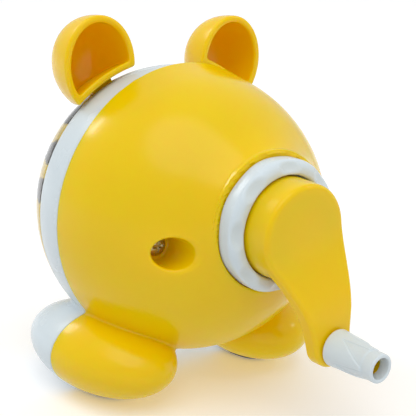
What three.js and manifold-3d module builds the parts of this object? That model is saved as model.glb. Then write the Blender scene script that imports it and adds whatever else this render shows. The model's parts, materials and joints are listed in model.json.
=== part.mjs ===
// A hand-crank pencil sharpener in the shape of a round animal, in millimetres, +Z up.
// The pencil goes in through the nose (-Y) and the crank turns at the back (+Y).
// The origin is on the table, under the middle of the object's box.
import * as THREE from 'three';
import { mergeVertices } from 'three/addons/utils/BufferGeometryUtils.js';
import Module from 'manifold-3d';

const wasm = await Module();
wasm.setup();

// ---- driving dimensions ------------------------------------------------------------------
const GAP = 0.3;                  // running and fitting gap between neighbouring pieces
const SKIN = 0.05;                // keeps two surfaces from lying on each other
const BODY_R = 42;                // ball radius
const OUTER = { ball: 24, foot: 14 };   // facets round the outside of the ball and feet
const INNER = { ball: 20, foot: 10 };   // and round the hollow inside
const DOME_B = 45.3;              // how far the rear half of the ball is stretched in +Y
const WALL = 2.4;                 // shell wall
const SEAM_Y = 1.3;               // plane where the front and rear shells meet
const BAND_Y = -11;               // front edge of the white band, where the face cover starts
const COVER_T = 1.5;              // clear face cover
const INSERT_T = 0.6;             // printed face insert
const FACE_STEP_R = BODY_R - COVER_T - INSERT_T - 2 * GAP;   // front shell behind the insert

const FOOT = { x: 26.9, y: 1.9, z: -38.7, a: 16.8, b: 27.3, c: 12.0, toeOut: 6 };
const SOLE_Z = -49.5;             // flat underside of the feet
const PAD = { a: 6.6, b: 11.0, inset: 0.7, bottom: -50.7 };

const EAR = { x: 23.4, y: -7.6, z: 41.5, a: 11.4, c: 13.9, depth: 17.5, lean: 4.6, wall: 2.0 };
const EAR_SIDES = 20;
const EAR_CLEAR = 1.5;            // air between an ear and the ball
const STEM = { rear: -13, front: -16.5, half: 3.6, inner: 35.4, outer: 42 };

const AXIS_Z = 5.6;               // height of the pencil and crank axis above the ball's centre
const PENCIL_R = 4.4;             // pencil bore
const BEARING = {
  r: 9.3, shoulderR: 11.5, shoulderY: -32, rear: -0.4,
  guideR: 6.2, guideY: -24, throatR: 4.9, carrierR: 7.6, carrierY: -4,
};
const RING_R = 18.2;              // lock ring over its lobes
const RING_LOBES = 8;
const RING_BASE = 41.6;
const RING_TOP = 47.3;
const RING_MOUTH_R = 14.3;
const RING_SCALLOP = 0.35;        // depth of the finger scallops
const SLEEVE_R = 15.9;            // lock ring sleeve inside the shell
const SLEEVE_BORE = 14.7;
const SLEEVE_END = 30.6;
const LUG_R = 17.2;
const SEAT_Y = 41.3;              // flat seat of the lock ring on the rear shell

const GEAR_MODULE = 1;
const RING_TEETH = 24;
const PINION_TEETH = 12;
const PINION_Y = 33.4;            // middle of the pinion's face
const TILT = THREE.MathUtils.degToRad(11);
const CUTTER_R = 6.0;
const CUTTER_FLUTES = 9;
const PIN_R = 1.3;

const HUB_R = 13.6;
const HUB_FACE = 55.0;
const HUB_BACK = 43.2;
const ARM = { x: -8.67, z: -24.8, tipR: 6.4, rise: 5.0, thick: 4.6 };
const ARM_EDGES = [{ leave: 1.5, past: 1.5 }, { leave: 6, past: 0 }];   // bulging (-X), hollow (+X)
const KNOB = { base: 60.5, tip: 76.4, baseR: 5.2, tipR: 3.9, boreR: 2.5, mouthR: 2.9 };

const SCREW = { x: 26.2, z: -1.2, boreR: 4.3, floor: 25.5, headR: 2.75, shankR: 1.25 };

// ---- colours ------------------------------------------------------------------------------
const finish = (color, roughness, metalness = 0, extra = {}) =>
  new THREE.MeshStandardMaterial({ color, roughness, metalness, ...extra });
const YELLOW = finish(0xf2c40c, 0.22);
const WHITE = finish(0xe6ecf0, 0.3);
const CLEAR = finish(0x9fb0bd, 0.08, 0, { transparent: true, opacity: 0.35 });
const PRINT = finish(0xf0c828, 0.5);
const DARK = finish(0x3a3f40, 0.7);
const STEEL = finish(0xb9bcc0, 0.3, 1);
const GREY = finish(0xb4b9bd, 0.45);
const ZINC = finish(0xc8b97a, 0.35, 1);

// ---- solids -------------------------------------------------------------------------------
// A closed three.js geometry becomes a solid, with its faces turned outwards.
function solid(geometry) {
  const bare = geometry.clone();
  bare.deleteAttribute('normal');
  bare.deleteAttribute('uv');
  const merged = mergeVertices(bare, 1e-4);
  const places = merged.attributes.position.array;
  const corners = merged.index.array;
  const at = (i) => new THREE.Vector3().fromArray(places, 3 * i);
  const kept = [];
  let volume = 0;
  for (let i = 0; i < corners.length; i += 3) {
    const [a, b, c] = [corners[i], corners[i + 1], corners[i + 2]];
    if (a === b || b === c || c === a) continue;
    kept.push([a, b, c]);
    volume += at(a).dot(at(b).cross(at(c)));
  }
  const triVerts = new Uint32Array(kept.flatMap(([a, b, c]) => (volume < 0 ? [a, c, b] : [a, b, c])));
  return new wasm.Manifold(new wasm.Mesh({
    numProp: 3,
    vertProperties: new Float32Array(places),
    triVerts,
  }));
}

const join = (first, ...rest) => rest.reduce((all, next) => all.add(next), first);
const cut = (first, ...rest) => rest.reduce((left, next) => left.subtract(next), first);

// A profile of [radius, y] points turned around Y. It is closed unless it runs from axis to axis.
function turned(profile, segments = 32) {
  const onAxis = profile[0][0] === 0 && profile.at(-1)[0] === 0;
  const points = (onAxis ? profile : [...profile, profile[0]]).map(([r, y]) => new THREE.Vector2(r, y));
  return new THREE.LatheGeometry(points, segments);
}

// A rod along Y from y0 to y1, centred on (x, z).
function rod(radius, y0, y1, { x = 0, z = 0, segments = 24 } = {}) {
  const shape = new THREE.CylinderGeometry(radius, radius, y1 - y0, segments);
  return solid(shape.translate(x, (y0 + y1) / 2, z));
}

function box(x0, x1, y0, y1, z0, z1) {
  const shape = new THREE.BoxGeometry(x1 - x0, y1 - y0, z1 - z0);
  return solid(shape.translate((x0 + x1) / 2, (y0 + y1) / 2, (z0 + z1) / 2));
}

// A flat outline in X and Z, given thickness from y0 to y1.
function plate(shape, y0, y1, { steps = 1, curveSegments = 12 } = {}) {
  const body = new THREE.ExtrudeGeometry(shape, {
    depth: y1 - y0, steps, curveSegments, bevelEnabled: false,
  });
  return body.rotateX(Math.PI / 2).translate(0, y1, 0);
}

function circle(radius, segments = 48) {
  const shape = new THREE.Shape();
  for (let i = 0; i < segments; i += 1) {
    const angle = (2 * Math.PI * i) / segments;
    shape[i ? 'lineTo' : 'moveTo'](radius * Math.cos(angle), radius * Math.sin(angle));
  }
  return shape;
}

function ellipsoid(a, b, c, x, y, z, turn, sides) {
  const shape = new THREE.SphereGeometry(1, sides, Math.round(sides * 0.6)).scale(a, b, c);
  return solid(shape.rotateZ(THREE.MathUtils.degToRad(turn)).translate(x, y, z));
}

const ball = (radius, sides = OUTER.ball) => solid(new THREE.SphereGeometry(radius, sides, sides / 2));

// Turns a solid made around the Y axis into its place on the pencil axis.
const onAxis = (part) => part.translate([0, 0, AXIS_Z]);

// ---- the ball with its feet ---------------------------------------------------------------
// Half profile of the ball at a wall depth: a round front and a slightly longer rear dome.
function ballProfile(depth, steps) {
  const radius = BODY_R - depth;
  const rear = DOME_B - depth;
  const points = [];
  for (let i = 0; i <= 2 * steps; i += 1) {
    const angle = (Math.PI * i) / (2 * steps);
    const y = -Math.cos(angle) * (i <= steps ? radius : rear);
    const edge = i === 0 || i === 2 * steps;
    points.push([edge ? 0 : radius * Math.sin(angle), y]);
  }
  return points;
}

function foot(side, grow, sides = OUTER.foot) {
  const f = FOOT;
  const [a, b, c] = [f.a + grow, f.b + grow, f.c + grow];
  return ellipsoid(a, b, c, side * f.x, f.y, f.z, side * f.toeOut, sides);
}

const hull = (depth, sides) => join(
  solid(turned(ballProfile(depth, sides.ball / 4), sides.ball)),
  foot(1, -depth, sides.foot),
  foot(-1, -depth, sides.foot),
);
const everything = 200;
const rearOf = (y) => box(-everything, everything, y, everything, -everything, everything);
const frontOf = (y) => box(-everything, everything, -everything, y, -everything, everything);
const above = (z) => box(-everything, everything, -everything, everything, z, everything);

function padOutline(a, b) {
  const shape = new THREE.Shape();
  shape.absellipse(0, 0, a, b, 0, 2 * Math.PI);
  return shape;
}

// A flat oval under a foot, from z0 to z1.
function padSolid(side, grow, z0, z1) {
  const body = new THREE.ExtrudeGeometry(padOutline(PAD.a + grow, PAD.b + grow), {
    depth: z1 - z0, bevelEnabled: false, curveSegments: 10,
  });
  const turn = THREE.MathUtils.degToRad(side * FOOT.toeOut);
  return solid(body.rotateZ(turn).translate(side * FOOT.x, FOOT.y, z0));
}

const outside = hull(0, OUTER).intersect(above(SOLE_Z));
const inside = hull(WALL, INNER).intersect(above(SOLE_Z + WALL));
const padSeats = [1, -1].map((side) => padSolid(side, GAP, SOLE_Z - 2, SOLE_Z + PAD.inset));
const shell = cut(outside, inside, ...padSeats);

// Posts of the front shell run through the rear shell's counterbored screw seats.
const atScrew = (side) => ({ x: side * SCREW.x, z: SCREW.z });

// ---- rear shell ---------------------------------------------------------------------------
function bayonetWedge(angle, halfWidth, radius, y0, y1) {
  const shape = new THREE.Shape();
  const start = angle - halfWidth;
  shape.moveTo(0, 0);
  shape.lineTo(radius * Math.cos(start), radius * Math.sin(start));
  shape.absarc(0, 0, radius, start, angle + halfWidth);
  return solid(plate(shape, y0, y1, { curveSegments: 6 }));
}
const LUG_ANGLES = [90, 210, 330].map(THREE.MathUtils.degToRad);
const LUG_HALF = THREE.MathUtils.degToRad(14);
const NOTCH_HALF = THREE.MathUtils.degToRad(18);
const UNLOCK = THREE.MathUtils.degToRad(40);

function rearShell() {
  const seat = onAxis(solid(turned([
    [0, SEAT_Y], [19.0, SEAT_Y], [19.8, SEAT_Y - 0.8], [21.4, 35], [23, 30], [0, 30],
  ])));
  const innerCollar = onAxis(solid(turned([[15.6, 36.4], [19.6, 36.4], [19.6, 41], [15.6, 41]], 32)));
  const lugRoom = onAxis(rod(LUG_R + GAP, 20, 36.4));
  const ringRoom = onAxis(rod(18.9, SEAT_Y, 60));
  const dome = join(cut(join(shell, seat.subtract(inside)), ringRoom, lugRoom), innerCollar);
  const opening = onAxis(rod(SLEEVE_R + GAP, 20, 60, { segments: 32 }));
  const notches = LUG_ANGLES.map((angle) => onAxis(
    bayonetWedge(angle + UNLOCK, NOTCH_HALF, LUG_R + GAP, 30, SEAT_Y + 1),
  ));
  const seats = [1, -1].map((side) => rod(6.4, 22.9, 50, { ...atScrew(side), segments: 16 }).intersect(outside));
  const bores = [1, -1].map((side) => {
    const bore = rod(SCREW.boreR, SCREW.floor, 60, { ...atScrew(side), segments: 16 });
    const hole = rod(SCREW.shankR + GAP, 20, 30, { ...atScrew(side), segments: 10 });
    return join(bore, hole);
  });
  return cut(join(dome, ...seats), opening, ...notches, ...bores).intersect(rearOf(SEAM_Y + GAP / 2));
}

// ---- front shell --------------------------------------------------------------------------
function earStem(side, grow, outer) {
  const s = STEM;
  const stem = box(-s.half - grow, s.half + grow, s.front - grow, s.rear + grow, s.inner - grow, outer);
  return stem.rotate([0, side * THREE.MathUtils.radToDeg(Math.atan2(EAR.x, EAR.z)), 0]);
}

function frontShell() {
  const recess = cut(
    frontOf(BAND_Y),
    join(ball(FACE_STEP_R), foot(1, SKIN), foot(-1, SKIN)),
  );
  const faceWall = ball(FACE_STEP_R).intersect(frontOf(BAND_Y + 1));
  const step = ball(BODY_R - 1).intersect(frontOf(BAND_Y + WALL)).intersect(rearOf(BAND_Y));
  const lining = cut(
    join(faceWall, step),
    join(ball(FACE_STEP_R - 2, INNER.ball), foot(1, -WALL, INNER.foot), foot(-1, -WALL, INNER.foot)),
  );
  const wall = join(cut(shell, recess), lining);
  const bearingHole = onAxis(rod(BEARING.r + GAP, -60, 5));
  const posts = [1, -1].map((side) => cut(
    rod(3.8, -30, 22.6, { ...atScrew(side), segments: 14 }).intersect(ball(FACE_STEP_R)),
    rod(SCREW.shankR + GAP, 12, 30, { ...atScrew(side), segments: 10 }),
  ));
  const stemSlots = [1, -1].map((side) => earStem(side, GAP, 60));
  const front = wall.intersect(frontOf(SEAM_Y - GAP / 2));
  return cut(join(front, ...posts), bearingHole, ...stemSlots);
}

// ---- carrier bearing: a tube through the front wall for the pencil and the carrier's nose ----
function carrierBearing() {
  const b = BEARING;
  const tube = turned([
    [b.guideR, -60], [b.r, -60], [b.r, b.shoulderY], [b.shoulderR, b.shoulderY],
    [b.shoulderR, b.shoulderY + 2], [b.r, b.shoulderY + 2], [b.r, b.rear], [b.carrierR, b.rear],
    [b.carrierR, b.carrierY], [b.throatR, b.carrierY], [b.throatR, b.guideY], [b.guideR, b.guideY],
  ]);
  return onAxis(solid(tube)).intersect(ball(FACE_STEP_R));
}

// ---- face insert and clear cover ----------------------------------------------------------
function faceCap(outer, thickness) {
  const cap = cut(ball(outer), ball(outer - thickness)).intersect(frontOf(BAND_Y - GAP));
  const stemNotches = [1, -1].map((side) => {
    const turn = side * THREE.MathUtils.radToDeg(Math.atan2(EAR.x, EAR.z));
    const notch = box(-STEM.half - GAP, STEM.half + GAP, STEM.front - GAP, 0, 30, 60);
    return notch.rotate([0, turn, 0]);
  });
  return cut(cap, foot(1, GAP), foot(-1, GAP), onAxis(rod(6.2, -60, -20)), ...stemNotches);
}

function pencilGuide() {
  const nose = onAxis(solid(turned([
    [0, -47], [5.6, -47], [7.2, -46.2], [8.4, -44.4], [8.8, -42], [8.8, -36], [0, -36],
  ], 20))).subtract(ball(BODY_R + GAP));
  const tube = onAxis(rod(5.8, -46, -24.4));
  const funnel = onAxis(solid(turned([
    [0, -50], [5.4, -50], [5.0, -46.4], [PENCIL_R, -44.6], [PENCIL_R, -20], [0, -20],
  ], 20)));
  return cut(join(nose, tube), funnel);
}

// ---- ears ---------------------------------------------------------------------------------
// A cup with a round front: the half width at depth d follows a superellipse.
function earCup(shrink) {
  const roundness = 2.4;
  const steps = 6;
  const depth = EAR.depth - shrink;
  const points = [[0, 0]];
  for (let i = 0; i <= steps; i += 1) {
    const angle = (Math.PI * i) / (2 * steps);
    const r = i === steps ? 0 : Math.cos(angle) ** (2 / roundness);
    points.push([r, -depth * Math.sin(angle) ** (2 / roundness)]);
  }
  const cup = turned(points, EAR_SIDES).scale(EAR.a - shrink, 1, EAR.c - shrink);
  return solid(cup);
}

function ear(side) {
  const place = (part) => part.rotate([0, side * EAR.lean, 0]).translate([side * EAR.x, EAR.y, EAR.z]);
  const mouth = solid(new THREE.CylinderGeometry(1, 1, 10, EAR_SIDES)
    .scale(EAR.a - EAR.wall, 1, EAR.c - EAR.wall)).translate([0, 4.99, 0]);
  const hollow = cut(place(join(earCup(EAR.wall), mouth)), ball(BODY_R + EAR_CLEAR + EAR.wall));
  const cup = cut(place(earCup(0)), hollow, ball(BODY_R + EAR_CLEAR));
  const stem = earStem(side, 0, STEM.outer);
  return join(cup, stem);
}

// ---- lock ring with its bayonet sleeve ----------------------------------------------------
function lobedOutline() {
  const shape = new THREE.Shape();
  const segments = RING_LOBES * 4;
  for (let i = 0; i < segments; i += 1) {
    const angle = (2 * Math.PI * i) / segments;
    const r = RING_R - RING_SCALLOP * (1 + Math.cos(RING_LOBES * angle));
    shape[i ? 'lineTo' : 'moveTo'](r * Math.cos(angle), r * Math.sin(angle));
  }
  return shape;
}

function lockRing() {
  const webFront = 40.2;
  const webBack = 42.8;
  const profile = turned([
    [5.1, webBack], [RING_MOUTH_R, webBack], [RING_MOUTH_R, RING_TOP - 0.8], [15.0, RING_TOP],
    [16.4, RING_TOP - 0.3], [17.6, RING_TOP - 1.4], [18.3, RING_TOP - 3.4], [18.3, RING_BASE],
    [SLEEVE_R, RING_BASE], [SLEEVE_R, SLEEVE_END], [SLEEVE_BORE, SLEEVE_END], [SLEEVE_BORE, 36],
    [14, 36], [14, webFront], [5.1, webFront],
  ], 28);
  const lugs = LUG_ANGLES.map((angle) => cut(
    bayonetWedge(angle, LUG_HALF, LUG_R, 33.4, 36.1),
    rod(15.3, 30, 40),
  ));
  const lobes = solid(plate(lobedOutline(), RING_BASE - 0.01, 60));
  const ring = solid(profile);
  const lower = join(ring.intersect(rod(30, 0, RING_BASE + 0.4)), ...lugs);
  return onAxis(join(lower, ring.intersect(lobes)));
}

// ---- gears --------------------------------------------------------------------------------
// A toothed outline with straight flanks. phase turns tooth 0 to that angle.
function gearPath(path, teeth, rootR, tipR, rootWidth, tipWidth, phase) {
  const at = (r, angle) => [r * Math.cos(angle), r * Math.sin(angle)];
  for (let i = 0; i < teeth; i += 1) {
    const middle = phase + (2 * Math.PI * i) / teeth;
    const corners = [
      at(rootR, middle - rootWidth / 2 / rootR), at(tipR, middle - tipWidth / 2 / tipR),
      at(tipR, middle + tipWidth / 2 / tipR), at(rootR, middle + rootWidth / 2 / rootR),
    ];
    corners.forEach(([x, y], corner) => path[i + corner ? 'lineTo' : 'moveTo'](x, y));
  }
  path.closePath();
  return path;
}
const UP = Math.PI / 2;
const pinionPitchR = (GEAR_MODULE * PINION_TEETH) / 2;
const ringPitchR = (GEAR_MODULE * RING_TEETH) / 2;
const axisOffset = ringPitchR - pinionPitchR;

function ringGear() {
  const shape = circle(SLEEVE_BORE - GAP, 36);
  const toothPitch = (2 * Math.PI) / RING_TEETH;
  const hole = gearPath(new THREE.Path(), RING_TEETH, ringPitchR + 1.5, ringPitchR - 0.5, 1.9, 0.8,
    UP + toothPitch / 2);
  shape.holes.push(hole);
  return onAxis(solid(plate(shape, PINION_Y - 1.9, PINION_Y + 1.9)));
}

// Things made around Y are tipped onto the cutter's own axis, through the middle of its pinion.
function onCutterAxis(part) {
  const tilt = THREE.MathUtils.radToDeg(TILT);
  return part.rotate([-tilt, 0, 0]).translate([0, PINION_Y, axisOffset + AXIS_Z]);
}
const PIN_BORE = PIN_R + GAP;

function cutterPinion() {
  const shape = gearPath(new THREE.Shape(), PINION_TEETH, pinionPitchR - 1.1, pinionPitchR + 0.8,
    1.8, 0.7, UP);
  shape.holes.push(circle(PIN_BORE, 20));
  return onCutterAxis(solid(plate(shape, -1.7, 1.7)));
}

const CUTTER = { front: -22.0, back: -3.8, twistTurns: 0.33 };
function helicalCutter() {
  const shape = new THREE.Shape();
  const perFlute = [[0, 5.1], [0.45, 5.2], [0.85, CUTTER_R]];
  for (let i = 0; i < CUTTER_FLUTES; i += 1) {
    perFlute.forEach(([step, r], corner) => {
      const angle = (2 * Math.PI * (i + step)) / CUTTER_FLUTES;
      shape[i + corner ? 'lineTo' : 'moveTo'](r * Math.cos(angle), r * Math.sin(angle));
    });
  }
  shape.closePath();
  shape.holes.push(circle(PIN_BORE, 20));
  const body = plate(shape, CUTTER.front, CUTTER.back, { steps: 5 });
  const place = body.attributes.position;
  const point = new THREE.Vector3();
  const spin = new THREE.Vector3(0, 1, 0);
  for (let i = 0; i < place.count; i += 1) {
    point.fromBufferAttribute(place, i);
    const turn = (2 * Math.PI * CUTTER.twistTurns * (point.y - CUTTER.front)) / (CUTTER.back - CUTTER.front);
    point.applyAxisAngle(spin, turn);
    place.setXYZ(i, point.x, point.y, point.z);
  }
  return onCutterAxis(solid(body));
}

const PIN = { front: -29.6, back: 5.2 };
const cutterPin = () => onCutterAxis(rod(PIN_R, PIN.front, PIN.back, { segments: 20 }));

// ---- carrier: turns with the crank and holds the cutter against the pencil -----------------
function cutterCarrier() {
  const lug = (y0, y1, height, hubR, lugR) => {
    const width = lugR;
    return join(
      rod(hubR, y0, y1),
      box(-width, width, y0, y1, 0, height),
      rod(lugR, y0, y1, { z: height, segments: 24 }),
    );
  };
  const frontLug = lug(2.2, 7.0, 11.6, 9.4, 3.2);
  const neck = rod(7.2, -2.0, 2.4);
  const tail = rod(13, 36.4, 39.9);
  const shaft = rod(4.8, 39.5, 49);
  const trough = cut(rod(7.6, 6.8, 36.6), box(-10, 10, 0, 40, -1.8, 20));
  const bores = join(rod(PENCIL_R + 0.2, -10, 34.4), rod(3.3, 33, 38.2), rod(1.5, 30, 60, { segments: 16 }));
  const carrier = onAxis(cut(join(frontLug, neck, tail, shaft, trough), bores));
  const pinHole = onCutterAxis(rod(PIN_R + 0.25, -29.9, 5.5, { segments: 20 }));
  const cutterRoom = onCutterAxis(join(
    rod(CUTTER_R + 0.6, CUTTER.front - 0.7, CUTTER.back + 0.3),
    rod(pinionPitchR + 1.4, -2.2, 2.2),
  ));
  return cut(carrier, pinHole, cutterRoom);
}

const crankScrew = () => onAxis(join(
  cut(rod(2.8, 36.2, 37.9, { segments: 24 }), box(-2, 2, 36, 36.9, -0.4, 0.4), box(-0.4, 0.4, 36, 36.9, -2, 2)),
  rod(1.2, 37.8, 52.4, { segments: 16 }),
));

// ---- crank ----------------------------------------------------------------------------------
// The arm is a comma: its outer edge bulges, its inner edge is hollow, and a round tip holds the knob.
const armLength = Math.hypot(ARM.x, ARM.z - AXIS_Z);
const armTurn = Math.atan2(-ARM.x, AXIS_Z - ARM.z);   // from straight down towards -X

// Half width of one edge at a distance below the hub axis. The edge leaves the hub's circle and
// meets the tip's circle without a corner: past is how far below the tip's centre they meet.
function armEdge(drop, shrink, { leave, past }) {
  const rootR = HUB_R - shrink;
  const tipR = ARM.tipR - shrink;
  const circleHalf = (radius, below) => Math.sqrt(Math.max(0, radius ** 2 - below ** 2));
  const arrive = armLength + past;
  if (drop <= leave) return circleHalf(rootR, drop);
  if (drop >= arrive) return circleHalf(tipR, drop - armLength);
  const start = circleHalf(rootR, leave);
  const end = circleHalf(tipR, past);
  const span = arrive - leave;
  const t = (drop - leave) / span;
  const leaving = (-leave / start) * span * t * (1 - t) ** 2;
  const arriving = (past / end) * span * t * t * (1 - t);
  return THREE.MathUtils.lerp(start, end, t * t * (3 - 2 * t)) + leaving + arriving;
}

// How far the arm has stepped out (+Y) at a distance below the hub axis.
function armRise(drop) {
  return ARM.rise * THREE.MathUtils.smoothstep(drop, 1, armLength - ARM.tipR);
}

// The arm hanging straight down, as level rows of four corners from the hub's top to the tip.
// Its bulging edge is at -X.
function armSolid(shrink, y0, y1) {
  const top = -(HUB_R - shrink);
  const bottom = armLength + ARM.tipR - shrink;
  const rows = 15;
  const places = [];
  const faces = [];
  for (let i = 0; i <= rows; i += 1) {
    const drop = top + ((bottom - top) * (1 - Math.cos((Math.PI * i) / rows))) / 2;
    const [bulging, hollow] = ARM_EDGES.map((edge) => Math.max(armEdge(drop, shrink, edge), 0.05));
    const rise = armRise(drop);
    places.push(-bulging, y0 + rise, -drop, hollow, y0 + rise, -drop);
    places.push(hollow, y1 + rise, -drop, -bulging, y1 + rise, -drop);
    for (let k = 0; i && k < 4; k += 1) {
      const [a, b] = [4 * (i - 1) + k, 4 * (i - 1) + ((k + 1) % 4)];
      faces.push(a, b, b + 4, a, b + 4, a + 4);
    }
  }
  const last = 4 * rows;
  faces.push(0, 3, 2, 0, 2, 1, last, last + 1, last + 2, last, last + 2, last + 3);
  const body = new THREE.BufferGeometry();
  body.setAttribute('position', new THREE.BufferAttribute(new Float32Array(places), 3));
  body.setIndex(faces);
  return solid(body);
}

function crankArm() {
  const face = armSolid(0, HUB_FACE - ARM.thick, HUB_FACE);
  const pocket = armSolid(1.9, HUB_FACE - ARM.thick - 1, HUB_FACE - 2.0);
  const hub = rod(HUB_R, HUB_BACK, HUB_FACE - 1);
  const hubHollow = rod(HUB_R - 2.0, HUB_BACK - 1, HUB_FACE - 2.0);
  const boss = cut(rod(7.2, 43.4, HUB_FACE - 1.5), rod(5.1, 43, 49.4), rod(1.5, 43, 52.6, { segments: 16 }));
  const knobPin = join(
    rod(2.2, 0, 13.4, { segments: 24 }),
    solid(turned([[0, 11.4], [2.2, 11.4], [2.65, 12.0], [2.65, 12.6], [2.0, 13.9], [0, 13.9]], 24)),
    rod(4.2, -4.4, 0.6, { segments: 24 }),
  ).subtract(rod(1.1, 4, 20, { segments: 16 })).translate([0, KNOB.base - 0.8, -armLength]);
  const crank = join(cut(join(hub, face), hubHollow, pocket), boss, knobPin);
  return onAxis(crank.rotate([0, THREE.MathUtils.radToDeg(armTurn), 0]));
}

function crankKnob() {
  const k = KNOB;
  const step = k.tip - 3.4;
  const body = turned([
    [k.boreR, k.base], [k.baseR - 0.5, k.base], [k.baseR, k.base + 0.6], [k.baseR - 0.1, k.base + 3],
    [k.tipR + 0.45, step - 0.3], [k.tipR, step], [k.tipR - 0.1, k.tip - 0.5], [k.tipR - 0.5, k.tip],
    [k.mouthR, k.tip], [k.mouthR, 71.2], [k.boreR, 70.8],
  ], 20);
  return solid(body).translate([ARM.x, 0, ARM.z]);
}

// ---- body screws and foot pads --------------------------------------------------------------
function bodyScrew(side) {
  const at = atScrew(side);
  const top = SCREW.floor + GAP + 2.0;
  const head = solid(turned([
    [0, SCREW.floor + GAP], [SCREW.headR, SCREW.floor + GAP], [SCREW.headR, top - 0.8], [1.9, top], [0, top],
  ], 24)).translate([at.x, 0, at.z]);
  const slotHalf = 0.4;
  const reach = 1.7;
  const cross = join(
    box(at.x - reach, at.x + reach, top - 0.9, top + 1, at.z - slotHalf, at.z + slotHalf),
    box(at.x - slotHalf, at.x + slotHalf, top - 0.9, top + 1, at.z - reach, at.z + reach),
  );
  const shank = rod(SCREW.shankR, 13, SCREW.floor + 1, { ...at, segments: 16 });
  return join(head.subtract(cross), shank);
}

const footPad = (side) => padSolid(side, 0, PAD.bottom, SOLE_Z + PAD.inset - GAP);

// ---- assembly ---------------------------------------------------------------------------------
const sharpener = new THREE.Group();

// Moves the model from the ball's centre to the middle of its footprint, on the table.
const noseY = -47;
sharpener.position.set(0, -(noseY + KNOB.tip) / 2, -PAD.bottom);

function add(name, part, material) {
  const mesh = part.getMesh();
  const geometry = new THREE.BufferGeometry();
  geometry.setAttribute('position', new THREE.BufferAttribute(mesh.vertProperties, 3));
  geometry.setIndex(new THREE.BufferAttribute(mesh.triVerts, 1));
  geometry.computeVertexNormals();
  const piece = new THREE.Mesh(geometry, material);
  piece.name = name;
  sharpener.add(piece);
}

add('rear_shell', rearShell(), YELLOW);
add('front_shell', frontShell(), WHITE);
add('carrier_bearing', carrierBearing(), GREY);
add('face_insert', faceCap(BODY_R - COVER_T - GAP, INSERT_T), PRINT);
add('face_cover', faceCap(BODY_R, COVER_T), CLEAR);
add('pencil_guide', pencilGuide(), DARK);
add('left_ear', ear(1), YELLOW);
add('right_ear', ear(-1), YELLOW);
add('lock_ring', lockRing(), WHITE);
add('ring_gear', ringGear(), GREY);
add('cutter_carrier', cutterCarrier(), GREY);
add('helical_cutter', helicalCutter(), STEEL);
add('cutter_pinion', cutterPinion(), GREY);
add('cutter_pin', cutterPin(), STEEL);
add('crank_screw', crankScrew(), ZINC);
add('crank_arm', crankArm(), YELLOW);
add('crank_knob', crankKnob(), WHITE);
add('left_body_screw', bodyScrew(1), ZINC);
add('right_body_screw', bodyScrew(-1), ZINC);
add('left_foot_pad', footPad(1), DARK);
add('right_foot_pad', footPad(-1), DARK);

export default sharpener;
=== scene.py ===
"""A hand-crank pencil sharpener in the shape of a round animal, seen from behind its crank.

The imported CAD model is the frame. Each outer piece is built again as a fine mesh: its shape is a
signed-distance field in millimetres, measured from the ball's centre, and it rides on the body of
the CAD node that it stands for. The pieces inside keep their CAD meshes and get new materials.
"""

import json
import math

import bpy
import numpy as np
from mathutils import Matrix, Vector


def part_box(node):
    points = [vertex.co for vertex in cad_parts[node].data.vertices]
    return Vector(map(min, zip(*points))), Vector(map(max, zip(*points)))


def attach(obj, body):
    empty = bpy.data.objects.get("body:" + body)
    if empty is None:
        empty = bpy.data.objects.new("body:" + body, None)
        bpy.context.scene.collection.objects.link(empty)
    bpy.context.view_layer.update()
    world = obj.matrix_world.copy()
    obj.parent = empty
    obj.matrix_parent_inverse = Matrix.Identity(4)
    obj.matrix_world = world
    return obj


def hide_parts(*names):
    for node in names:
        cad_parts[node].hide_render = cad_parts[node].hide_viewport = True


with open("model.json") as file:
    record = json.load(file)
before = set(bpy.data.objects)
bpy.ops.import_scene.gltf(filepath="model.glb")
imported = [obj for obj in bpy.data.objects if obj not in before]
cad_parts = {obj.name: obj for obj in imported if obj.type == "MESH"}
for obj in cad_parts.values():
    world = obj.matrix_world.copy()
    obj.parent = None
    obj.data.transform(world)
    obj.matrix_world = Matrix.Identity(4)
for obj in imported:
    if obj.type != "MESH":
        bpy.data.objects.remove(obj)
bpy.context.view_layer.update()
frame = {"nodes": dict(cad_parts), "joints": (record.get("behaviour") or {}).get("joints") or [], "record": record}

# ---- driving sizes, in millimetres and degrees ------------------------------------------------
MM = 0.001
GAP = 0.3               # running and fitting gap between neighbouring pieces
BODY_R = 42.0           # ball radius
DOME_B = 45.3           # the rear half of the ball, stretched in +Y
WALL = 2.4
SEAM_Y = 1.3            # where the white and the yellow shell meet
SEAM_GAP = 0.1          # what shows of the gap between them
BAND_Y = -11.0          # front edge of the white band
COVER_T = 1.5
INSERT_T = 0.6
INSERT_R = BODY_R - COVER_T + 0.05      # the print clings to the cover, with no air between
FACE_STEP_R = BODY_R - COVER_T - INSERT_T - 2 * GAP
AXIS_RISE = 5.6         # pencil and crank axis above the ball's centre
BEARING_HOLE_R = 9.6    # hole in the front wall for the bearing tube
CREASE = 1.2            # fillet between the ball and its feet

FOOT_X, FOOT_Y, FOOT_Z = 26.9, 1.9, -38.7
FOOT_AXES = (16.54, 27.3, 12.0)
TOE_OUT = math.radians(6)
SOLE_Z = -49.5
PAD_AXES = (6.6, 11.0)
PAD_INSET = 0.7
PAD_BOTTOM = -50.7

EAR_X, EAR_Y, EAR_Z = 23.4, -7.6, 41.5
EAR_AXES = (11.4, 13.87)
EAR_DEPTH = 17.5
EAR_LEAN = math.radians(4.6)
EAR_WALL = 2.0
EAR_ROUNDNESS = 2.4     # exponent of the superellipse across the cup
EAR_CLEAR = 1.5         # air between an ear and the ball
STEM_Y = (-16.5, -13.0)
STEM_HALF = 3.6
STEM_REACH = (35.4, 42.0)

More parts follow.
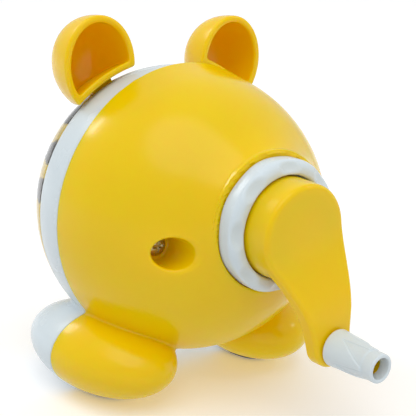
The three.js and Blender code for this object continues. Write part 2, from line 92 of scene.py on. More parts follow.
SEAT_Y = 41.3           # flat seat of the lock ring
SEAT_R = 18.9
SEAT_FLARE = 0.45       # how fast the seat's collar widens towards the ball
RING_ROOM_R = 18.3
RING_R = 18.15
RING_FOOT = 41.4        # underside of the ring's rim, close over its seat
RING_TOP = 47.3
RING_MOUTH_R = 14.05
RING_DIMPLES = 8
SLEEVE = (14.7, 15.9)   # bore and outside of the ring's sleeve
SLEEVE_END = 30.6
WEB_BORE_R = 5.1
WEB_Y = (40.2, 42.8)    # the web between the ring's sleeve and the crank screw
LUG_R = 17.2
LUG_Y = (33.4, 36.1)
SCOOP_REACH, SCOOP_Y, SCOOP_R = 17.9, 50.4, 4.7     # centre and radius of a finger scoop
LUG_ROOM_Y = (20.0, 36.4)
KEEPER = (15.6, 19.6)   # inside and outside of the wall that the lugs lock behind
KEEPER_Y = (36.4, 41.0)
NOTCH_Y = 30.0          # where the lugs' entry notches start
LUG_ANGLES = [math.radians(a) for a in (90, 210, 330)]
LUG_HALF = math.radians(14)
NOTCH_HALF = math.radians(18)
UNLOCK = math.radians(40)

HUB_R = 13.6
HUB_FACE = 55.0
HUB_BACK = 43.2
TIP_R = 6.4
ARM_RISE = 5.0          # how far the arm steps out between hub and knob
ARM_THICK = 4.6
ARM_EDGE_ROUNDING = 1.3
ARM_WALL = 1.9
ARM_EDGES = ((1.5, 1.5), (6.0, 0.0))    # where the bulging and the hollow edge leave and arrive

KNOB_BASE, KNOB_STEP, KNOB_TIP = 60.5, 73.0, 76.4
KNOB_RADII = (5.2, 4.4, 3.95)           # at the base, at the step and round the collar
KNOB_BORE = (2.5, 2.9)
KNOB_MOUTH_Y = 71.0
RECESS_START = 64.0     # where the knob's flat hollows open
PIN_R, PIN_END = 2.2, 75.9
PIN_SHOULDER_R = 4.2
PIN_BEAD_R = 2.65       # the bead that the knob snaps over

GUIDE_FLANGE_R, GUIDE_TUBE_R, GUIDE_BORE_R = 8.8, 5.8, 4.4
GUIDE_Y = (-47.0, -24.4)
FUNNEL_SLOPE, FUNNEL_Y = 0.45, -44.4    # the guide's mouth widens in front of here
GUIDE_HOLE_R = 6.2

SCREW_X, SCREW_Z = 26.2, -1.2
BORE_R = 4.3
BORE_FLOOR = 25.5
BORE_RIM = 1.2
BOSS_R, BOSS_START = 6.4, 22.9          # the rear shell's boss round a screw seat
POST_R, POST_END = 3.8, 22.6            # the front shell's post that a screw goes into
SHANK_HOLE_R = 1.55
HEAD_R, HEAD_RISE, HEAD_CROWN = 2.72, 1.3, 6.0
RECESS_HALF, RECESS_REACH, RECESS_DEPTH = 0.38, 1.6, 0.9
SHANK_R, SHANK_START = 1.25, 13.0

# The printed face, measured from the ball's centre. An oval is its place across and up, its half
# width and half height, and the softness of its edge.
STRIPE_ANGLES = (8.2, 25.1, 43.7, 61.5)     # degrees up from level, on each side of the face
STRIPE_HALF = 6.3
STRIPE_REACH = (27.0, 40.2)                 # a stripe's inner end, and its outer end at the rim
INK = (0.02, 0.018, 0.016)
MUZZLE = ((0, -4, 17, 13, 0.06), (0.98, 0.94, 0.82))
FACE_OVALS = (
    ((14.5, 14, 5.6, 7.0, 0.04), (0.9, 0.9, 0.88)),         # whites of the eyes
    ((14.0, 13.4, 3.9, 5.2, 0.04), (0.015, 0.013, 0.012)),  # pupils
    ((15.6, 16.2, 1.2, 1.5, 0.04), (0.9, 0.9, 0.9)),        # glints
    ((19.0, 1.0, 3.6, 2.4, 0.3), (0.83, 0.33, 0.12)),       # cheeks
)
SMILE = ((4.2, -7.4, 4.6, 4.6, 0.05), (4.2, -6.6, 4.3, 4.3, 0.05))  # one oval less the other

# The camera: degrees round from the nose towards +X, degrees up, and distances from the ball.
VIEW_AZIMUTH = math.radians(141.42)
VIEW_ELEVATION = math.radians(15.23)
VIEW_ROLL = math.radians(3.18)
VIEW_DISTANCE = 281.3
VIEW_SIDE = (8.74, -0.69)       # how far the camera is moved along the picture's own axes
LENS = 81.28

joints = {joint["name"]: joint for joint in frame["joints"]}
node_body = {
    node: body for body, nodes in frame["record"]["behaviour"]["bodies"].items() for node in nodes
}


def box_mm(node):
    """A CAD node's lowest and highest corner, in millimetres."""
    return [np.array(corner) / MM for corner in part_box(node)]


# The ball's centre in the row frame: below the crank axis, and in front of the rear shell's edge.
crank_axis = np.array(joints["crank_turn"]["pos_m"]) / MM
CENTRE = np.array([0.0, box_mm("rear_shell")[0][1] - SEAM_Y - GAP / 2, crank_axis[2] - AXIS_RISE])
KNOB_X, _, KNOB_Z = np.array(joints["knob_spin"]["pos_m"]) / MM - CENTRE
ARM_LENGTH = math.hypot(KNOB_X, KNOB_Z - AXIS_RISE)
ARM_TURN = math.atan2(-KNOB_X, AXIS_RISE - KNOB_Z)


# ---- signed-distance fields --------------------------------------------------------------------
def length(*parts):
    return np.sqrt(sum(part * part for part in parts))


def join(a, b, fillet=0.0):
    """Both shapes, with a fillet of that radius where they meet."""
    if fillet == 0:
        return np.minimum(a, b)
    corner = length(np.maximum(fillet - a, 0), np.maximum(fillet - b, 0))
    return np.maximum(fillet, np.minimum(a, b)) - corner


def overlap(a, b, rounding=0.0):
    """What two shapes share, with its edge rounded to that radius."""
    return -join(-a, -b, rounding)


def carve(a, b, rounding=0.0):
    """The first shape with the second cut out of it."""
    return overlap(a, -b, rounding)


def between(value, low, high):
    return np.maximum(low - value, value - high)


def rod(reach, radius, y, low, high, rounding=0.0):
    """A rod along Y, from the distance to its axis."""
    return overlap(reach - radius, between(y, low, high), rounding)


def oval(places, axes):
    """Near the surface, the distance to an ellipse or an ellipsoid."""
    scaled = length(*(p / a for p, a in zip(places, axes)))
    slope = length(*(p / a**2 for p, a in zip(places, axes)))
    return scaled * (scaled - 1) / np.maximum(slope, 1e-9)


def smooth(value, low, high):
    t = np.clip((value - low) / (high - low), 0, 1)
    return t * t * (3 - 2 * t)


def turn(a, b, angle):
    """A pair of coordinates turned by an angle."""
    return a * math.cos(angle) - b * math.sin(angle), a * math.sin(angle) + b * math.cos(angle)


def wedge(x, up, angle, half):
    """A sector round the crank axis, from that axis outwards."""
    along, side = turn(x, up, -angle)
    return np.abs(side) * math.cos(half) - along * math.sin(half)


# ---- the ball and its feet ----------------------------------------------------------------------
def dome(x, y, z):
    return oval((x, y, z), (BODY_R, np.where(y > 0, DOME_B, BODY_R), BODY_R))


def foot_place(x, y):
    """Places across and along the nearer foot."""
    return turn(np.abs(x) - FOOT_X, y - FOOT_Y, -TOE_OUT)


def feet(x, y, z):
    return oval((*foot_place(x, y), z - FOOT_Z), FOOT_AXES)


def pad_outline(x, y):
    return oval(foot_place(x, y), PAD_AXES)


def body_form(x, y, z, depth=0.0):
    """The ball on its flat-soled feet, shrunk by a depth."""
    form = join(dome(x, y, z), feet(x, y, z), CREASE) + depth
    return overlap(form, SOLE_Z + depth - z, 0.8)


def pad_seats(x, y, z):
    return overlap(pad_outline(x, y) - GAP, z - SOLE_Z - PAD_INSET)


def screw_reach(x, z):
    return length(np.abs(x) - SCREW_X, z - SCREW_Z)


def rear_shell(x, y, z):
    up = z - AXIS_RISE
    reach = length(x, up)
    flank = (reach - SEAT_R + SEAT_FLARE * (y - SEAT_Y)) / math.hypot(1, SEAT_FLARE)
    skin = body_form(x, y, z)
    outer = join(skin, overlap(flank, y - SEAT_Y, 0.4), 2.5)
    outer = carve(outer, overlap(reach - RING_ROOM_R, SEAT_Y - y), 0.6)
    shell = carve(outer, body_form(x, y, z, WALL))
    shell = carve(shell, rod(reach, LUG_R + GAP, y, *LUG_ROOM_Y))
    shell = join(shell, overlap(between(reach, *KEEPER), between(y, *KEEPER_Y)))
    shell = carve(shell, reach - SLEEVE[1] - GAP, 0.3)
    for angle in LUG_ANGLES:
        notch = overlap(wedge(x, up, angle + UNLOCK, NOTCH_HALF), reach - LUG_R - GAP)
        shell = carve(shell, overlap(notch, NOTCH_Y - y))
    near = screw_reach(x, z)
    shell = join(shell, overlap(np.maximum(near - BOSS_R, BOSS_START - y), skin + 1), 0.6)
    shell = carve(shell, overlap(near - BORE_R, BORE_FLOOR - y, 0.7), BORE_RIM)
    shell = carve(shell, rod(near, SHANK_HOLE_R, y, 20, 30))
    shell = carve(shell, pad_seats(x, y, z), 0.2)
    return overlap(shell, SEAM_Y + SEAM_GAP / 2 - y, 0.2)


def ear_stem(x, y, z, grow=0.0):
    across, out = turn(np.abs(x), z, math.atan2(EAR_X, EAR_Z))
    side = overlap(np.abs(across) - STEM_HALF - grow, between(y, STEM_Y[0] - grow, STEM_Y[1] + grow), 0.4)
    return overlap(side, STEM_REACH[0] - grow - out)


def front_shell(x, y, z):
    foot = feet(x, y, z)
    face = length(x, y, z) - FACE_STEP_R
    skin = join(overlap(dome(x, y, z), BAND_Y - y, 0.25), face)
    outer = np.where(y > BAND_Y, join(skin, foot, CREASE), join(skin, foot))
    outer = overlap(outer, SOLE_Z - z, 0.8)
    back_room = overlap(body_form(x, y, z, WALL), BAND_Y + WALL - y)
    face_room = overlap(join(face + 2, foot + WALL), SOLE_Z + WALL - z)
    shell = carve(outer, join(back_room, face_room))
    shell = overlap(shell, y - SEAM_Y + SEAM_GAP / 2, 0.2)
    near = screw_reach(x, z)
    post = rod(near, POST_R, y, -30, POST_END)
    shell = join(shell, np.where(y < 0, overlap(post, face + 1), post), 0.6)
    shell = carve(shell, rod(near, SHANK_HOLE_R, y, 12, 30))
    shell = carve(shell, overlap(length(x, z - AXIS_RISE) - BEARING_HOLE_R, y), 0.2)
    shell = carve(shell, ear_stem(x, y, z, GAP))
    return carve(shell, pad_seats(x, y, z), 0.2)


def face_cap(x, y, z, radius, thickness, rim):
    """A round shell over the face, with room for the feet, the pencil guide and the ears' stems."""
    cap = between(length(x, y, z), radius - thickness, radius)
    cap = overlap(cap, y - BAND_Y + GAP, rim)
    cap = carve(cap, feet(x, y, z) - GAP, rim)
    cap = carve(cap, length(x, z - AXIS_RISE) - GUIDE_HOLE_R, rim / 2)
    across, out = turn(np.abs(x), z, math.atan2(EAR_X, EAR_Z))
    notch = np.maximum(np.abs(across) - STEM_HALF - GAP, STEM_Y[0] - GAP - y)
    return carve(cap, np.maximum(notch, 30 - out), rim / 2)


def face_cover(x, y, z):
    return face_cap(x, y, z, BODY_R, COVER_T, 0.35)


def face_insert(x, y, z):
    return face_cap(x, y, z, INSERT_R, INSERT_T, 0.1)


def pencil_guide(x, y, z):
    reach = length(x, z - AXIS_RISE)
    nose, end = GUIDE_Y
    flange = overlap(rod(reach, GUIDE_FLANGE_R, y, nose, -36, 2.2), BODY_R + GAP - length(x, y, z), 0.15)
    form = join(flange, rod(reach, GUIDE_TUBE_R, y, nose + 1, end, 0.3), 0.2)
    bore = reach - GUIDE_BORE_R
    funnel = np.minimum(bore, (bore - FUNNEL_SLOPE * (FUNNEL_Y - y)) / math.hypot(1, FUNNEL_SLOPE))
    return carve(form, funnel, 0.5)


# ---- ears ---------------------------------------------------------------------------------------
def ear_cup(across, y, up, shrink):
    """A cup whose half width follows a superellipse, open towards +Y."""
    a, c = (axis - shrink for axis in EAR_AXES)
    width = length(across / a, up / c)
    depth = np.maximum(-y, 0) / (EAR_DEPTH - shrink)
    form = (width**EAR_ROUNDNESS + depth**EAR_ROUNDNESS) ** (1 / EAR_ROUNDNESS)
    return (form - 1) * (a + c) / 2


def ear(x, y, z):
    across, up = turn(x - EAR_X, z - EAR_Z, EAR_LEAN)
    front = y - EAR_Y
    from_ball = length(x, y, z) - BODY_R - EAR_CLEAR
    cup = carve(ear_cup(across, front, up, 0), from_ball, 0.7)
    room = carve(ear_cup(across, front, up, EAR_WALL), from_ball - EAR_WALL, 0.9)
    cup = overlap(carve(cup, room), front, 0.85)
    return join(cup, overlap(ear_stem(x, y, z), length(x, z) - STEM_REACH[1]), 0.5)


# ---- lock ring ----------------------------------------------------------------------------------
def lock_ring(x, y, z):
    up = z - AXIS_RISE
    reach = length(x, up)
    sector = 2 * math.pi / RING_DIMPLES
    angle = np.arctan2(up, x)
    fold = angle - sector * np.round(angle / sector)
    outline = reach - RING_R + 0.12 * (1 + np.cos(RING_DIMPLES * fold))
    ring = overlap(overlap(outline, y - RING_TOP, 2.6), RING_FOOT - y, 0.2)
    scoop = length(reach * np.cos(fold) - SCOOP_REACH, 0.8 * reach * np.sin(fold), y - SCOOP_Y) - SCOOP_R
    ring = carve(ring, scoop, 0.5)
    ring = carve(ring, reach - RING_MOUTH_R, 0.9)
    ring = join(ring, overlap(between(reach, WEB_BORE_R, SLEEVE[1]), between(y, *WEB_Y), 0.3))
    sleeve = overlap(between(reach, *SLEEVE), between(y, SLEEVE_END, 42.0), 0.3)
    ring = join(ring, join(sleeve, overlap(between(reach, 14.0, 15.8), between(y, 36.0, 40.4))))
    for lug_angle in LUG_ANGLES:
        lug = overlap(wedge(x, up, lug_angle, LUG_HALF), between(reach, 15.3, LUG_R), 0.3)
        ring = join(ring, overlap(lug, between(y, *LUG_Y), 0.3))
    return ring


# ---- crank --------------------------------------------------------------------------------------
def arm_flank(side, drop, shrink, leave, past):
    """One edge of the arm. It leaves the hub's circle and meets the tip's without a corner."""
    root, tip = HUB_R - shrink, TIP_R - shrink
    start, end = math.sqrt(root**2 - leave**2), math.sqrt(tip**2 - past**2)
    arrive = ARM_LENGTH + past
    span = arrive - leave
    t = (drop - leave) / span
    leaving, arriving = -leave / start * span, -past / end * span
    half = start + (end - start) * t * t * (3 - 2 * t)
    half = half + leaving * t * (1 - t) ** 2 - arriving * t * t * (1 - t)
    slope = (end - start) * 6 * t * (1 - t) + leaving * (1 - t) * (1 - 3 * t) - arriving * t * (2 - 3 * t)
    flank = (side - half) / length(1.0, slope / span)
    flank = np.where(drop < leave, length(side, drop) - root, flank)
    return np.where(drop > arrive, length(side, drop - ARM_LENGTH) - tip, flank)


def arm_outline(side, drop, shrink=0.0):
    bulging, hollow = ARM_EDGES
    left = arm_flank(-side, drop, shrink, *bulging)
    right = arm_flank(side, drop, shrink, *hollow)
    return np.where(side < 0, left, right)


def crank_arm(x, y, z):
    side, up = turn(x, z - AXIS_RISE, ARM_TURN)
    drop = -up
    reach = length(side, drop)
    rise = ARM_RISE * smooth(drop, 1, ARM_LENGTH - TIP_R)
    crown = 0.35 * (side / HUB_R) ** 2
    draft = 0.03 * (y - rise - 47)
    outline = arm_outline(side, drop) + draft
    face = (y - HUB_FACE - rise + crown) / 1.04
    back = (HUB_FACE - ARM_THICK + rise - y) / 1.04
    plate = overlap(overlap(outline, face, ARM_EDGE_ROUNDING), back, 0.5)
    top = y - HUB_FACE + crown
    hub = overlap(overlap(reach - HUB_R + draft, top, ARM_EDGE_ROUNDING), HUB_BACK - y, 0.3)
    crank = join(hub, plate)
    pocket = overlap(arm_outline(side, drop, ARM_WALL), y - HUB_FACE + 2 - rise, 0.6)
    crank = carve(crank, pocket, 0.2)
    crank = carve(crank, overlap(reach - HUB_R + 2, y - HUB_FACE + 2, 0.6), 0.2)
    boss = rod(reach, 7.2, y, 43.4, HUB_FACE - 1.5, 0.2)
    boss = carve(boss, join(rod(reach, 5.1, y, 30, 49.4), rod(reach, 1.5, y, 30, 52.6)), 0.2)
    from_knob = length(side, drop - ARM_LENGTH)
    pin = rod(from_knob, PIN_SHOULDER_R, y, 55.3, 60.3, 0.2)
    pin = join(pin, rod(from_knob, PIN_R, y, 59.7, PIN_END, 0.3), 0.3)
    pin = join(pin, rod(from_knob, PIN_BEAD_R, y, 71.6, 72.6, 0.3), 0.2)
    pin = carve(pin, overlap(from_knob - 1.1, 63.7 - y), 0.2)
    return join(join(crank, boss), pin)


def knob_recess(y, angle):
    """Depth of four flat hollows, which open from a point near the base and twist as they widen."""
    growth = np.clip((y - RECESS_START) / (KNOB_STEP - RECESS_START), 0, 1)
    low, high = 65 - 67 * growth, 65 + 15 * growth
    into = np.mod(np.degrees(angle) - low, 90)
    from_edge = np.minimum(into, high - low - into) * math.radians(KNOB_RADII[1])
    return 0.3 * smooth(from_edge, 0, 0.45)


def crank_knob(x, y, z):
    reach = length(x - KNOB_X, z - KNOB_Z)
    base, step, collar = KNOB_RADII
    slope = (step - base) / (KNOB_STEP - KNOB_BASE)
    taper = (reach - base - slope * (y - KNOB_BASE)) / math.hypot(1, slope)
    taper = taper + knob_recess(y, np.arctan2(z - KNOB_Z, x - KNOB_X))
    body = overlap(taper, between(y, KNOB_BASE, KNOB_STEP), 0.45)
    form = join(body, rod(reach, collar, y, KNOB_BASE + 1, KNOB_TIP, 0.5), 0.3)
    bore, mouth = KNOB_BORE
    return carve(form, join(reach - bore, overlap(reach - mouth, KNOB_MOUTH_Y - y)), 0.35)


# ---- screws and pads ----------------------------------------------------------------------------
def body_screw(x, y, z):
    """The screw on the +X side: a domed head with a cross recess, on a plain shank."""
    across, rise = x - SCREW_X, z - SCREW_Z
    reach = length(across, rise)
    top = BORE_FLOOR + GAP + HEAD_RISE
    crown = length(reach, y - top + HEAD_CROWN) - HEAD_CROWN
    head = overlap(rod(reach, HEAD_R, y, BORE_FLOOR + GAP, top, 0.3), crown, 0.2)
    narrow, wide = np.minimum(np.abs(across), np.abs(rise)), np.maximum(np.abs(across), np.abs(rise))
    arms = np.maximum(narrow - RECESS_HALF, wide - RECESS_REACH)
    cross = np.maximum(arms, top - RECESS_DEPTH + 0.3 * wide - y)
    head = carve(head, cross, 0.1)
    return join(head, rod(reach, SHANK_R, y, SHANK_START, BORE_FLOOR + 1, 0.2), 0.1)


def foot_pad(x, y, z):
    slab = between(z, PAD_BOTTOM, SOLE_Z + PAD_INSET - GAP)
    return overlap(pad_outline(x, y), slab, 0.35)


# ---- meshes from fields -------------------------------------------------------------------------
def steps(low, high, cell, fine_at=(), fine=0.1, reach=0.5):
    """Sample places one cell apart, and closer round the places in fine_at."""
    places = [np.linspace(low, high, int(math.ceil((high - low) / cell)) + 1)]
    for place in fine_at:
        places.append(np.arange(place - reach, place + reach, fine))
    merged = np.sort(np.concatenate(places))
    kept = [merged[0]]
    for place in merged[1:]:
        if place - kept[-1] > fine * 0.6:
            kept.append(place)
    return np.array(kept)


def straight(u, v, w):
    return u, v, w


def around(axis_x, axis_z):
    """Grid coordinates radius, angle and Y round an axis along Y."""
    return lambda r, angle, y: (axis_x + r * np.cos(angle), y, axis_z + r * np.sin(angle))


def on_sphere(polar, angle, r):
    """Grid coordinates angle from -Y, angle round Y and radius."""
    return r * np.sin(polar) * np.cos(angle), -r * np.cos(polar), r * np.sin(polar) * np.sin(angle)


def full_turn(count):
    return np.arange(count) * 2 * math.pi / count


def surface_net(values, wraps):
    """A sampled field's zero surface: vertices in grid steps, one in each mixed cell, and quads."""
    if wraps:
        values = np.concatenate([values, values[:, :1]], axis=1)
    cells = np.array(values.shape) - 1
    total = int(np.prod(cells))
    sums, counts, crossings = np.zeros((3, total)), np.zeros(total), []
    for axis in range(3):
        low = np.take(values, range(cells[axis]), axis)
        high = np.take(values, range(1, cells[axis] + 1), axis)
        edge = np.argwhere((low < 0) != (high < 0))
        a, b = low[tuple(edge.T)], high[tuple(edge.T)]
        place = edge.astype(float)
        place[:, axis] += a / (a - b)
        others = [(axis + 1) % 3, (axis + 2) % 3]
        for shift in ((0, 0), (1, 0), (1, 1), (0, 1)):
            cell = edge.copy()
            cell[:, others] -= shift
            inside = ((cell >= 0) & (cell < cells)).all(1)
            flat = np.ravel_multi_index(cell[inside].T, cells)
            counts += np.bincount(flat, minlength=total)
            for part in range(3):
                sums[part] += np.bincount(flat, place[inside, part], total)
        crossings.append((edge, a < 0, others))
    used = np.flatnonzero(counts)
    number = np.full(total, -1)
    number[used] = np.arange(len(used))
    quads = []
    for edge, leaves, others in crossings:
        corners = []
        for shift in ((1, 1), (0, 1), (0, 0), (1, 0)):
            cell = edge.copy()
            cell[:, others] -= shift
            if wraps:
                cell[:, 1] %= cells[1]
            corners.append(cell)
        good = np.all([((c >= 0) & (c < cells)).all(1) for c in corners], axis=0)
        if wraps and 1 in others:
            good &= edge[:, 1] < cells[1]
        quad = np.stack([number[np.ravel_multi_index(c[good].T, cells)] for c in corners], 1)
        quads.append(np.where(leaves[good, None], quad, quad[:, ::-1]))
    return sums[:, used] / counts[used], np.concatenate(quads)


def gradient(field, points, step=0.03):
    parts = []
    for offset in np.eye(3) * step:
        parts.append(field(*(points + offset).T) - field(*(points - offset).T))
    return np.stack(parts, 1) / (2 * step)


def settle(field, points, cell, rounds=4):
    """Moves points onto the field's surface, by no more than half a cell each time."""
    for _ in range(rounds):
        slope = gradient(field, points)
        square = np.maximum((slope**2).sum(1), 0.05)
        move = -(field(*points.T) / square)[:, None] * slope
        size = np.maximum(np.linalg.norm(move, axis=1, keepdims=True), 1e-9)
        points = points + move * np.minimum(1, cell / 2 / size)
    return points


def relax(points, quads, normals):
    """Evens the spacing of points along the surface."""
    ends = np.concatenate([quads[:, [i, (i + 1) % 4]] for i in range(4)])
    count = sum(np.bincount(ends[:, side], minlength=len(points)) for side in (0, 1))
    mean = np.stack([
        np.bincount(ends[:, 0], points[ends[:, 1], part], len(points))
        + np.bincount(ends[:, 1], points[ends[:, 0], part], len(points))
        for part in range(3)
    ], 1) / np.maximum(count, 1)[:, None]
    move = mean - points
    move -= (move * normals).sum(1, keepdims=True) * normals
    return points + 0.5 * move


def unit(vectors):
    return vectors / np.maximum(np.linalg.norm(vectors, axis=1, keepdims=True), 1e-9)


def fine_mesh(field, axes, place=straight, wraps=False, cell=0.5, even=0):
    """Points, quads and normals of a field's surface, in millimetres from the ball's centre."""
    grid = np.meshgrid(*axes, indexing="ij")
    net, quads = surface_net(field(*place(*grid)), wraps)
    if wraps:
        axes = [axes[0], np.append(axes[1], 2 * math.pi), axes[2]]
    inner = [np.interp(part, np.arange(len(axis)), axis) for part, axis in zip(net, axes)]
    points = settle(field, np.stack(place(*inner), 1), cell)
    for _ in range(even):
        points = relax(points, quads, unit(gradient(field, points)))
        points = settle(field, points, cell, rounds=2)
    a, b, c = (points[quads[:, i]] for i in range(3))
    if (np.cross(b, c) * a).sum() < 0:
        quads = quads[:, ::-1]
    return points, quads, unit(gradient(field, points))


def mirrored(shape):
    """The same mesh on the -X side."""
    points, quads, normals = shape
    flip = np.array([-1.0, 1.0, 1.0])
    return points * flip, quads[:, ::-1], normals * flip


def add_piece(node, shape, material):
    """Puts a fine mesh in the place of a CAD node."""
    points, quads, normals = shape
    mesh = bpy.data.meshes.new(node + "_fine")
    mesh.from_pydata(((points + CENTRE) * MM).tolist(), [], quads.tolist())
    mesh.shade_smooth()
    mesh.normals_split_custom_set_from_vertices(normals.tolist())
    mesh.materials.append(material)
    piece = bpy.data.objects.new(node + "_fine", mesh)
    bpy.context.scene.collection.objects.link(piece)
    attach(piece, node_body[node])
    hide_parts(node)


# ---- materials ----------------------------------------------------------------------------------
def new_material(name):
    material = bpy.data.materials.new(name)
    material.use_nodes = True
    tree = material.node_tree
    return material, tree, tree.nodes["Principled BSDF"]


def calc(tree, operation, *values):
    """A Math node on sockets and numbers."""
    node = tree.nodes.new("ShaderNodeMath")
    node.operation = operation
    for socket, value in zip(node.inputs, values):
        if isinstance(value, (int, float)):
            socket.default_value = value
        else:
            tree.links.new(value, socket)
    return node.outputs[0]


def noise(tree, scale, detail=3.0, stretch=(1, 1, 1)):
    """Noise over the object's own coordinates, with features about 1/scale metres wide."""
    coordinates = tree.nodes.new("ShaderNodeTexCoord")
    mapping = tree.nodes.new("ShaderNodeMapping")
    mapping.inputs["Scale"].default_value = stretch
    texture = tree.nodes.new("ShaderNodeTexNoise")
    texture.inputs["Scale"].default_value = scale
    texture.inputs["Detail"].default_value = detail
    tree.links.new(coordinates.outputs["Object"], mapping.inputs["Vector"])
    tree.links.new(mapping.outputs["Vector"], texture.inputs["Vector"])
    return texture.outputs["Fac"]


def spread(tree, value, low, high):
    """Maps the usual range of a noise to low and high."""
    node = tree.nodes.new("ShaderNodeMapRange")
    node.inputs["From Min"].default_value = 0.3
    node.inputs["From Max"].default_value = 0.7
    node.inputs["To Min"].default_value = low
    node.inputs["To Max"].default_value = high
    tree.links.new(value, node.inputs["Value"])
    return node.outputs["Result"]


def blend(tree, share, first, second):
    """A mix of two colours, each a tuple or a socket."""
    node = tree.nodes.new("ShaderNodeMix")
    node.data_type = "RGBA"
    tree.links.new(share, node.inputs["Factor"])
    for socket, colour in ((node.inputs[6], first), (node.inputs[7], second)):
        if isinstance(colour, tuple):
            socket.default_value = (*colour, 1)
        else:
            tree.links.new(colour, socket)
    return node.outputs[2]


def wired_length(tree, a, b):
    """The length of two sockets taken as the sides of a right angle."""
    squares = [calc(tree, "MULTIPLY", part, part) for part in (a, b)]
    return calc(tree, "SQRT", calc(tree, "ADD", *squares))


def soft_step(tree, value, edge):
    """0 below zero and 1 above it, smoothed over an edge on each side."""
    ramp = tree.nodes.new("ShaderNodeMapRange")
    ramp.interpolation_type = "SMOOTHSTEP"
    ramp.inputs["From Min"].default_value = -edge
    ramp.inputs["From Max"].default_value = edge
    tree.links.new(value, ramp.inputs["Value"])
    return ramp.outputs["Result"]


def add_bump(tree, shader, height, strength, distance):
    bump = tree.nodes.new("ShaderNodeBump")
    bump.inputs["Strength"].default_value = strength
    bump.inputs["Distance"].default_value = distance
    tree.links.new(height, bump.inputs["Height"])
    tree.links.new(bump.outputs["Normal"], shader.inputs["Normal"])


def moulded(name, colour, deep, rough=(0.16, 0.24), grain=0.05, waves=0.02, scatter=0.0, glow=None):
    """Moulded plastic: faint flow marks in its colour, uneven gloss and a fine grain."""
    material, tree, shader = new_material(name)
    flow = noise(tree, 55, 4, (1, 0.35, 1))
    tree.links.new(blend(tree, spread(tree, flow, 0, 1), colour, deep), shader.inputs["Base Color"])
    tree.links.new(spread(tree, noise(tree, 120), *rough), shader.inputs["Roughness"])
    fine = noise(tree, 2600, 2)
    broad = calc(tree, "MULTIPLY", noise(tree, 70, 1), waves / grain)
    add_bump(tree, shader, calc(tree, "ADD", fine, broad), grain, 0.0004)
    shader.inputs["Specular IOR Level"].default_value = 0.28
    if scatter:
        shader.inputs["Subsurface Weight"].default_value = scatter
        shader.inputs["Subsurface Radius"].default_value = glow
        shader.inputs["Subsurface Scale"].default_value = 0.004
    return material


def metal(name, colour, deep, rough, stretch, grain=0.25):
    """Ground or turned metal, with its tool marks along one way."""
    material, tree, shader = new_material(name)
    marks = noise(tree, 900, 5, stretch)
    shade = blend(tree, spread(tree, noise(tree, 300), 0, 1), colour, deep)
    tree.links.new(shade, shader.inputs["Base Color"])
    tree.links.new(spread(tree, marks, *rough), shader.inputs["Roughness"])
    shader.inputs["Metallic"].default_value = 1.0
    add_bump(tree, shader, marks, grain, 0.00005)
    return material


def clear_plastic():
    """Faintly smoky clear plastic, which bends what lies under it out to its rim."""
    material, tree, shader = new_material("smoky_clear_plastic")
    tint = blend(tree, spread(tree, noise(tree, 40), 0, 1), (0.97, 0.985, 0.99), (0.95, 0.965, 0.975))
    tree.links.new(tint, shader.inputs["Base Color"])
    tree.links.new(spread(tree, noise(tree, 90), 0.03, 0.08), shader.inputs["Roughness"])
    shader.inputs["Transmission Weight"].default_value = 1.0
    shader.inputs["IOR"].default_value = 1.45
    shader.inputs["Specular IOR Level"].default_value = 0.15
    add_bump(tree, shader, noise(tree, 60, 2), 0.05, 0.0003)
    return material


def printed_face():
    """The printed insert: a plain yellow animal face with dark stripes along its rim."""
    material, tree, shader = new_material("printed_face")
    coordinates = tree.nodes.new("ShaderNodeTexCoord")
    parts = tree.nodes.new("ShaderNodeSeparateXYZ")
    tree.links.new(coordinates.outputs["Object"], parts.inputs["Vector"])
    across = calc(tree, "ABSOLUTE", parts.outputs["X"])
    up = calc(tree, "SUBTRACT", parts.outputs["Z"], float(CENTRE[2] * MM))

    def oval_mask(x, z, width, height, edge):
        """1 inside an oval on each side of the face."""
        dx = calc(tree, "DIVIDE", calc(tree, "SUBTRACT", across, x * MM), width * MM)
        dz = calc(tree, "DIVIDE", calc(tree, "SUBTRACT", up, z * MM), height * MM)
        return soft_step(tree, calc(tree, "SUBTRACT", 1.0, wired_length(tree, dx, dz)), edge)

    grain = noise(tree, 500, 3)
    colour = blend(tree, spread(tree, noise(tree, 60), 0, 1), (1.0, 0.70, 0.01), (0.96, 0.65, 0.008))
    muzzle, cream = MUZZLE
    colour = blend(tree, oval_mask(*muzzle), colour, cream)
    inner, outer = (r * MM for r in STRIPE_REACH)
    taper = calc(tree, "DIVIDE", calc(tree, "SUBTRACT", wired_length(tree, across, up), inner), outer - inner)
    half = calc(tree, "MULTIPLY", taper, math.radians(STRIPE_HALF))
    ragged = calc(tree, "MULTIPLY", calc(tree, "SUBTRACT", noise(tree, 350, 2), 0.5), 0.06)
    angle = calc(tree, "ADD", calc(tree, "ARCTAN2", up, across), ragged)
    for middle in STRIPE_ANGLES:
        off = calc(tree, "ABSOLUTE", calc(tree, "SUBTRACT", angle, math.radians(middle)))
        stripe = soft_step(tree, calc(tree, "SUBTRACT", half, off), 0.012)
        colour = blend(tree, stripe, colour, INK)
    for place, tone in FACE_OVALS:
        colour = blend(tree, oval_mask(*place), colour, tone)
    disc, bite = (oval_mask(*place) for place in SMILE)
    smile = calc(tree, "MULTIPLY", disc, calc(tree, "SUBTRACT", 1.0, bite))
    colour = blend(tree, smile, colour, (0.03, 0.02, 0.02))
    tree.links.new(colour, shader.inputs["Base Color"])
    tree.links.new(spread(tree, grain, 0.35, 0.5), shader.inputs["Roughness"])
    add_bump(tree, shader, grain, 0.1, 0.0001)
    return material


